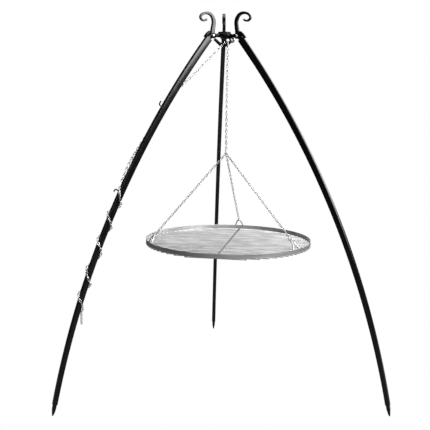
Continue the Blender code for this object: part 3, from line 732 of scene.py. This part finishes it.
# ---- legs ---------------------------------------------------------------
# Outlines are distances from the tripod's axis and heights above the ground.
FOOT_OUTLINE = ((0.1053, 1.6760), (0.1114, 1.6809), (0.1010, 1.6945), (0.0915, 1.7030),
                (0.0830, 1.7080), (0.0775, 1.7090), (0.0779, 1.7042), (0.0827, 1.6948),
                (0.0920, 1.6834), (0.0996, 1.6834))
FOOT_HALF_WIDTH = 0.0075
SCROLL = (
    (0.1153, 1.6369), (0.0871, 1.6720), (0.0735, 1.6885), (0.0675, 1.7010), (0.0655, 1.7150),
    (0.0625, 1.7330), (0.0608, 1.7500), (0.0632, 1.7650), (0.0695, 1.7785), (0.0790, 1.7880),
    (0.0920, 1.7930), (0.1070, 1.7925), (0.1210, 1.7870), (0.1305, 1.7775), (0.1315, 1.7665),
    (0.1240, 1.7580), (0.1130, 1.7555), (0.1040, 1.7580), (0.0990, 1.7630),
)
SCROLL_THICK = (0.020, 0.020, 0.0205, 0.020, 0.0195, 0.0185, 0.018, 0.017, 0.015, 0.0135,
                0.0125, 0.0115, 0.0105, 0.0098, 0.009, 0.0085, 0.008, 0.0085, 0.0075)
SCROLL_WIDE = (0.0134, 0.0134, 0.015, 0.015, 0.015, 0.0148, 0.0145, 0.0143, 0.014, 0.014,
               0.0138, 0.0138, 0.0135, 0.0135, 0.0132, 0.013, 0.013, 0.013, 0.0125)
SCROLL_DROP = {"back": 0.0, "left": 0.0080, "right": 0.0035}
CURL_START, CURL_HEIGHT = 1.715, 0.085
HEAD_SIDE = {"back": 1.0, "left": 1.0, "right": -1.0}


def leg_section(azimuth, phi, half_depth, half_width, corner):
    out, side = leg_axes(azimuth)
    a = math.radians(phi)
    normal = out * math.cos(a) + UP * math.sin(a)
    return placed(rounded_section(half_depth, half_width, corner, CORNER_STEPS),
                  arc_point(azimuth, phi), normal, side)


def leg_tube(key, azimuth):
    shape = Shape()
    outer, inner = [], []
    steps = 72
    for i in range(steps + 1):
        phi = ARC_BOTTOM + (ARC_TOP - ARC_BOTTOM) * i / steps
        half = tube_depth(phi) / 2.0
        outer.append(leg_section(azimuth, phi, half, TUBE_WIDTH / 2.0, TUBE_CORNER_OUT))
        inner.append(leg_section(azimuth, phi, half - TUBE_WALL, TUBE_WIDTH / 2.0 - TUBE_WALL,
                                 TUBE_CORNER_IN))
    shape.loft(outer + inner[::-1], looped=True)
    shape.piece("curved_leg_" + key, COAT, "leg_" + key, ["leg_tube_" + key])


def scroll_foot(key, azimuth):
    out = leg_axes(azimuth)[0]
    across = out.cross(UP)
    shape = Shape()
    shape.prism(FOOT_OUTLINE, across * -FOOT_HALF_WIDTH, out, UP, across * (FOOT_HALF_WIDTH * 2.0))
    shape.piece("scroll_foot_bar_" + key, CROWN_COAT, "leg_" + key, ["scroll_foot_" + key],
                50.0, bevel=0.0010)


def foot_spike(key, azimuth):
    out, side = leg_axes(azimuth)
    a = math.radians(ARC_BOTTOM)
    down = out * math.sin(a) - UP * math.cos(a)
    across = out * math.cos(a) + UP * math.sin(a)
    end = arc_point(azimuth, ARC_BOTTOM)
    half_u = DEPTH_BOTTOM / 2.0 - TUBE_WALL - FIT_GAP
    half_v = TUBE_WIDTH / 2.0 - TUBE_WALL - FIT_GAP
    reach = end.z / math.cos(a)
    rings = []
    for along, scale in ((-0.034, 0.80), (-0.032, 1.0), (0.004, 1.0), (0.012, 0.995),
                         (0.018, 0.975), (0.025, 0.88), (0.034, 0.72), (0.042, 0.56)):
        corner = 0.0022 * scale
        section = rounded_section(half_u * scale, half_v * scale, corner, 5)
        rings.append(placed(section, end + down * along, across, side))
    tip = end + down * reach
    base = Vector((tip.x, tip.y, 0.0))
    rings.append(placed(rounded_section(0.0026, 0.0026, 0.0012, 5), base + UP * 0.0009, out, side))
    rings.append(placed(rounded_section(0.0019, 0.0019, 0.0009, 5), base, out, side))
    shape = Shape()
    shape.loft(rings)
    shape.piece("ground_spike_" + key, COAT, "leg_" + key, ["foot_spike_" + key])


def scroll_height(key, z):
    # Each bar is forged by hand, so the curls end at slightly different heights.
    rise = z - CURL_START
    return z if rise < 0.0 else CURL_START + rise * (1.0 - SCROLL_DROP[key] / CURL_HEIGHT)


def table_value(values, share):
    place = share * (len(values) - 1)
    low = min(int(place), len(values) - 2)
    return values[low] + (values[low + 1] - values[low]) * (place - low)


def scroll_bar(key, azimuth):
    out, side = leg_axes(azimuth)
    flat = spline([Vector((r, scroll_height(key, z), 0.0)) for r, z in SCROLL], 7)
    rings = []
    total = len(flat) - 1
    for n, point in enumerate(flat):
        slope = (flat[min(n + 1, total)] - flat[max(n - 1, 0)]).normalized()
        across = out * slope.y - UP * slope.x
        half_u = table_value(SCROLL_THICK, n / total) / 2.0
        half_v = table_value(SCROLL_WIDE, n / total) / 2.0
        shrink = 0.78 if n == total else 1.0
        corner = min(half_u, half_v) * 0.42 * shrink
        section = rounded_section(half_u * shrink, half_v * shrink, corner, 6)
        origin = out * point.x + UP * point.y
        if n == total:
            rings.append(placed(rounded_section(half_u * 0.97, half_v * 0.97, corner, 6),
                                origin - (out * slope.x + UP * slope.y) * 0.0008, across, side))
        rings.append(placed(section, origin, across, side))
    shape = Shape()
    shape.loft(rings)
    shape.piece("scroll_" + key, COAT, "leg_" + key, ["scroll_bar_" + key])


def nut_shape(shape, centre, axis, radius, depth):
    u_axis, v_axis = side_axes(axis)
    rings = []
    for along, scale in ((0.0, 0.90), (0.12, 1.0), (0.88, 1.0), (1.0, 0.90)):
        ring = []
        for k in range(6):
            for t in (0.0, 1.0 / 3.0, 2.0 / 3.0):
                a = math.radians(60.0 * k)
                b = math.radians(60.0 * (k + 1))
                x = math.cos(a) * (1.0 - t) + math.cos(b) * t
                y = math.sin(a) * (1.0 - t) + math.sin(b) * t
                reach = min(1.0, scale / math.hypot(x, y))
                ring.append(centre + axis * (depth * (along - 0.5))
                            + (u_axis * x + v_axis * y) * (radius * reach))
        rings.append(ring)
    shape.loft(rings)


def hinge_hardware(key, azimuth):
    axis = leg_axes(azimuth)[1] * HEAD_SIDE[key]
    middle = plane_point(azimuth, PIVOT_R, PIVOT_Z)
    shape = Shape()
    shape.turned(middle - axis * BOLT_BACK, axis,
                 ((0.0, 0.0030), (0.0006, 0.0036), (0.0012, 0.0040), (0.0318, 0.0040),
                  (0.0319, 0.0060), (0.0322, 0.00625), (0.0336, 0.00625), (0.0350, 0.0058),
                  (0.0361, 0.0047), (0.0367, 0.0030), (0.0368, 0.0010)), 32)
    shape.piece("pivot_bolt_" + key, BOLT_ZINC, "crown", ["hinge_bolt_" + key], 50.0)
    shape = Shape()
    nut_shape(shape, middle - axis * NUT_BACK, axis, NUT_RADIUS, NUT_DEPTH)
    shape.piece("pivot_nut_" + key, BOLT_ZINC, "crown", ["hinge_nut_" + key], 30.0)


for leg_key, leg_azimuth in LEGS.items():
    leg_tube(leg_key, leg_azimuth)
    scroll_foot(leg_key, leg_azimuth)
    foot_spike(leg_key, leg_azimuth)
    scroll_bar(leg_key, leg_azimuth)
    hinge_hardware(leg_key, leg_azimuth)


# ---- crown --------------------------------------------------------------
def crown():
    shape = Shape()
    shape.turned(UP * DRUM_LOW, UP, ((0.0, 0.0360), (0.0005, 0.0367), (0.0012, 0.0370),
                                     (0.0128, 0.0370), (0.0140, 0.0366), (0.0152, 0.0353),
                                     (0.0160, 0.0340)), 96)
    shape.turned(UP * DISC_LOW, UP, ((0.0, 0.0300), (0.0096, 0.0300), (0.0105, 0.0297),
                                     (0.0110, 0.0290)), 96)
    shape.piece("crown_drum", CROWN_COAT, "crown", ["crown_hub"], 50.0)
    shape = Shape()
    outline = [(0.020, 1.6836), (0.030, 1.6836), (0.046, 1.6800)]
    for i in range(29):
        a = math.radians(-112.0 + 224.0 * i / 28)
        outline.append((PIVOT_R + CHEEK_RADIUS * math.cos(a),
                        PIVOT_Z + CHEEK_RADIUS * math.sin(a)))
    outline += [(0.046, 1.6935), (0.030, 1.6950), (0.020, 1.6950)]
    for azimuth in LEGS.values():
        out, side = leg_axes(azimuth)
        for start in (CHEEK_INNER, -CHEEK_OUTER):
            shape.prism(outline, side * start, out, UP, side * CHEEK_THICK)
    lug = []
    for i in range(25):
        a = math.radians(180.0 + 180.0 * i / 24)
        lug.append((LUG_X + LUG_RADIUS * math.cos(a), LUG_Z + LUG_RADIUS * math.sin(a)))
    lug += [(LUG_X + LUG_RADIUS, 1.6800), (0.0300, 1.6900), (0.0140, 1.6900), (0.0140, 1.6840)]
    shape.prism(lug, Y_AXIS * LUG_Y, X_AXIS, UP, Y_AXIS * LUG_THICK)
    shape.piece("crown_cheeks", CROWN_COAT, "crown", [], 50.0, bevel=0.0006)


def stirrup():
    path = [(-0.0480, 1.6745), (-0.0420, 1.6705), (-0.0280, 1.6580), (-0.0170, 1.6500),
            (-0.0040, 1.6480), (0.0080, 1.6485), (0.0200, 1.6555), (0.0340, 1.6668)]
    thick = (0.0060, 0.0065, 0.0070, 0.0080, 0.0086, 0.0084, 0.0070, 0.0060)
    points = spline([Vector((x, z, 0.0)) for x, z in path], 8)
    rings = []
    for i, p in enumerate(points):
        ahead = (points[min(i + 1, len(points) - 1)] - points[max(i - 1, 0)]).normalized()
        across = Vector((-ahead.y, 0.0, ahead.x))
        half = table_value(thick, i / (len(points) - 1))
        rings.append(placed(rounded_section(half, 0.0050, 0.0016, 4),
                            Vector((p.x, STIRRUP_Y, p.y)), across, Y_AXIS))
    shape = Shape()
    shape.loft(rings)
    shape.turned(Vector((LUG_X, BOSS_Y, LUG_Z)), Y_AXIS,
                 ((0.0, 0.0117), (0.0003, 0.0122), (0.0010, 0.0125), (0.0090, 0.0125),
                  (0.0097, 0.0122), (0.0100, 0.0117)), 40)
    shape.piece("stirrup_bar", CROWN_COAT, "crown", ["stirrup"], 45.0)
    shape = Shape()
    shape.turned(Vector((LUG_X, WASHER_Y, WASHER_Z)), Y_AXIS,
                 ((0.0, 0.0112), (0.0004, 0.0120), (0.0012, 0.0127), (0.0022, 0.0130),
                  (0.0056, 0.0130), (0.0060, 0.0127)), 48)
    shape.turned(Vector((LUG_X, PIN_Y, LUG_Z)), Y_AXIS,
                 ((0.0, 0.004), (0.0275, 0.004), (0.0285, 0.0032)), 28)
    shape.piece("stirrup_pin", BOLT_ZINC, "crown", ["stirrup_bolt"], 45.0)
    shape = Shape()
    nut_shape(shape, Vector((LUG_X, NUT_Y, LUG_Z)), Y_AXIS, NUT_RADIUS, NUT_DEPTH)
    shape.piece("stirrup_pin_nut", BOLT_ZINC, "crown", ["stirrup_nut"], 30.0)


def hanging_rings():
    eye = Vector((HANG_X, 0.0, EYE_Z))
    shape = Shape()
    ring = [eye + Vector((math.cos(a), 0.0, math.sin(a))) * EYE_RADIUS for a in angles(56)]
    shape.sweep(ring, EYE_WIRE, 20, looped=True, first=Y_AXIS)
    shape.turned(eye + UP * EYE_RADIUS, UP, ((0.0, 0.0030), (0.016, 0.0030)), 20)
    shape.piece("guide_ring", CROWN_COAT, "crown", ["guide_eye"])
    shape = Shape()
    path = stadium_path(Vector((HANG_X, 0.0, SHACKLE_LOW)), Vector((HANG_X, 0.0, SHACKLE_HIGH)),
                        Y_AXIS, SHACKLE_HALF, 16)
    shape.sweep(path, SHACKLE_WIRE, 14, looped=True, first=X_AXIS)
    shape.piece("chain_shackle", ZINC, "shackle", ["hang_shackle"])
    shape = Shape()
    centre = Vector((HANG_X, 0.0, JUNCTION_Z))
    ring = [centre + Vector((0.0, math.cos(a), math.sin(a))) * JUNCTION_RADIUS
            for a in angles(48)]
    shape.sweep(ring, JUNCTION_WIRE, 16, looped=True, first=X_AXIS)
    shape.piece("gathering_ring", ZINC, "junction", ["junction_ring"])


crown()
stirrup()
hanging_rings()


# ---- grate --------------------------------------------------------------
def grate_rim():
    profile = ((0.0, 0.0006), (0.0002, 0.0002), (0.0006, 0.0))
    section = []
    for inset, drop in profile:
        section.append((RIM_RADIUS - inset, RIM_LOW + drop))
    for inset, drop in reversed(profile):
        section.append((RIM_RADIUS - inset, RIM_TOP - drop))
    for inset, drop in profile:
        section.append((RIM_RADIUS - RIM_THICK + inset, RIM_TOP - drop))
    for inset, drop in reversed(profile):
        section.append((RIM_RADIUS - RIM_THICK + inset, RIM_LOW + drop))
    rings = []
    for a in angles(RIM_STEPS):
        out = Vector((math.cos(a), math.sin(a), 0.0))
        rings.append([Vector((GRATE_X, 0.0, 0.0)) + out * r + UP * z for r, z in section])
    shape = Shape()
    shape.loft(rings, looped=True)
    shape.piece("cooking_rim", RIM_STEEL, "grate", ["grate_rim"], 50.0)


def grate_axes():
    a = math.radians(GRATE_TURN)
    return Vector((math.cos(a), math.sin(a), 0.0)), Vector((-math.sin(a), math.cos(a), 0.0))


def rod_tree():
    tree, nodes, links, given = point_tree("grate_rods", {"Rod Radius": ROD_RADIUS})
    reach = point_value(nodes, "half_length", "FLOAT")
    aim = point_value(nodes, "aim", "FLOAT_VECTOR")
    bar = nodes.new("GeometryNodeMeshCylinder")
    bar.inputs["Vertices"].default_value = 16
    bar.inputs["Side Segments"].default_value = 1
    bar.inputs["Depth"].default_value = 2.0
    links.new(given.outputs["Rod Radius"], bar.inputs["Radius"])
    turn = nodes.new("FunctionNodeAlignRotationToVector")
    turn.axis = "Z"
    links.new(aim.outputs["Attribute"], turn.inputs["Vector"])
    size = nodes.new("ShaderNodeCombineXYZ")
    size.inputs["X"].default_value = 1.0
    size.inputs["Y"].default_value = 1.0
    links.new(reach.outputs["Attribute"], size.inputs["Z"])
    spread = spread_on_points(nodes, links, given, bar, turn)
    links.new(size.outputs["Vector"], spread.inputs["Scale"])
    return tree


def grate_rods():
    along, across = grate_axes()
    centre = Vector((GRATE_X, 0.0, RIM_LOW - FIT_GAP - ROD_RADIUS))
    points, halves, aims = [], [], []
    for i in range(-ROD_SIDE, ROD_SIDE + 1):
        shift = i * ROD_PITCH
        points.append(centre + across * shift)
        halves.append(math.sqrt(RIM_RADIUS ** 2 - shift ** 2))
        aims.append(along)
    bar = centre + UP * CROSS_LIFT
    rods = run_tree("cooking_rods", rod_tree(), points, {"aim": aims}, {"half_length": halves},
                    {"Finish": ROD_STEEL})
    attach(rods, "grate", ["grate_rods"])
    shape = Shape()
    reach = RIM_RADIUS - CROSS_SHORT
    shape.turned(bar - across * reach, across,
                 ((0.0, CROSS_RADIUS - CROSS_EDGE), (CROSS_EDGE, CROSS_RADIUS),
                  (2 * reach - CROSS_EDGE, CROSS_RADIUS), (2 * reach, CROSS_RADIUS - CROSS_EDGE)),
                 20)
    # The cross bar gets the steel whose dark base colour is painted shade.
    shape.piece("cross_bar", SHADED_BAR_STEEL, "grate", [], 40.0)
    beads = Shape()
    for point, half in zip(points, halves):
        for end in (-1.0, 1.0):
            place = point + along * (end * (half - WELD_BACK)) + UP * (ROD_RADIUS * 0.9)
            bead(beads, place, along * end, WELD_SIZE)
    beads.piece("rod_welds", WELD, "grate", [], 80.0)


def bead(shape, place, along, size):
    side = UP.cross(along).normalized()
    rings = []
    for k in range(5):
        a = math.radians(-72.0 + 36.0 * k)
        rings.append([place + along * (size * math.sin(a) * 0.9)
                      + side * (size * math.cos(a) * math.cos(b) * 1.45)
                      + UP * (size * math.cos(a) * math.sin(b) * 0.62) for b in angles(8)])
    shape.loft(rings)


def bail(key):
    out, side, apex, toward = bail_frame(key)
    centre = Vector((GRATE_X, 0.0, 0.0))
    half = ((0.0205, 0.3923, 0.7115), (0.0200, 0.3923, 0.7240), (0.0175, 0.3900, 0.7330),
            (0.0125, 0.3835, 0.7440), (0.0065, 0.3760, 0.7545), (0.0, BAIL_R, BAIL_Z))
    table = [(-t, r, z) for t, r, z in half] + [(t, r, z) for t, r, z in reversed(half[:-1])]
    points = [centre + side * t + out * r + UP * z for t, r, z in table]
    shape = Shape()
    shape.sweep(spline(points, 7), BAIL_WIRE, 16, round_ends=False)
    shape.piece("wire_bail_" + key, ROD_STEEL, "grate", ["bail_" + key])
    shape = Shape()
    width = side.cross(toward).normalized()
    path = stadium_path(apex, apex + toward * LINK_LENGTH, width, LINK_HALF, 14)
    shape.sweep(path, LINK_WIRE, 12, looped=True, first=side)
    sleeve = apex + width * LINK_HALF + toward * (LINK_LENGTH * 0.5 - 0.0045)
    u_axis, v_axis = side, toward.cross(side)
    rings = []
    for along, scale in ((0.0, 0.86), (0.0007, 1.0), (0.0083, 1.0), (0.0090, 0.86)):
        rings.append([sleeve + toward * along + (u_axis * math.cos(a) + v_axis * math.sin(a))
                      * (0.0031 * scale) for a in angles(6)])
    shape.loft(rings)
    shape.piece("quick_link_" + key, ZINC, "grate", ["connector_" + key], 35.0)


grate_rim()
grate_rods()
for bail_key in BAILS:
    bail(bail_key)


# ---- hooks on the left leg ----------------------------------------------
def leg_hook(name, node, phi, steps):
    out = leg_axes(LEGS["left"])[0]
    a = math.radians(phi)
    n_axis = out * math.cos(a) + UP * math.sin(a)
    s_axis = UP * math.cos(a) - out * math.sin(a)
    base = arc_point(LEGS["left"], phi, tube_depth(phi) / 2.0 + HOOK_GAP)
    points = [base + n_axis * n + s_axis * s for n, s in steps]
    shape = Shape()
    shape.sweep(spline(points, 8), HOOK_WIRE, 16)
    shape.turned(base - n_axis * 0.0006, n_axis, ((0.0, 0.0046), (0.0008, 0.0045),
                                                  (0.0018, 0.0037), (0.0026, 0.0031)), 20)
    shape.piece(name, COAT, "leg_left", [node], 50.0)


leg_hook("upper_chain_hook", "upper_hook", 32.9,
         ((0.0, 0.0), (0.007, 0.0), (0.0125, 0.0012), (0.0150, 0.0065), (0.0155, 0.0175)))
leg_hook("lower_chain_hook", "lower_hook", 26.6,
         ((0.0, 0.0), (0.006, 0.0), (0.0155, 0.0004), (0.0200, -0.0050), (0.0210, -0.0115)))
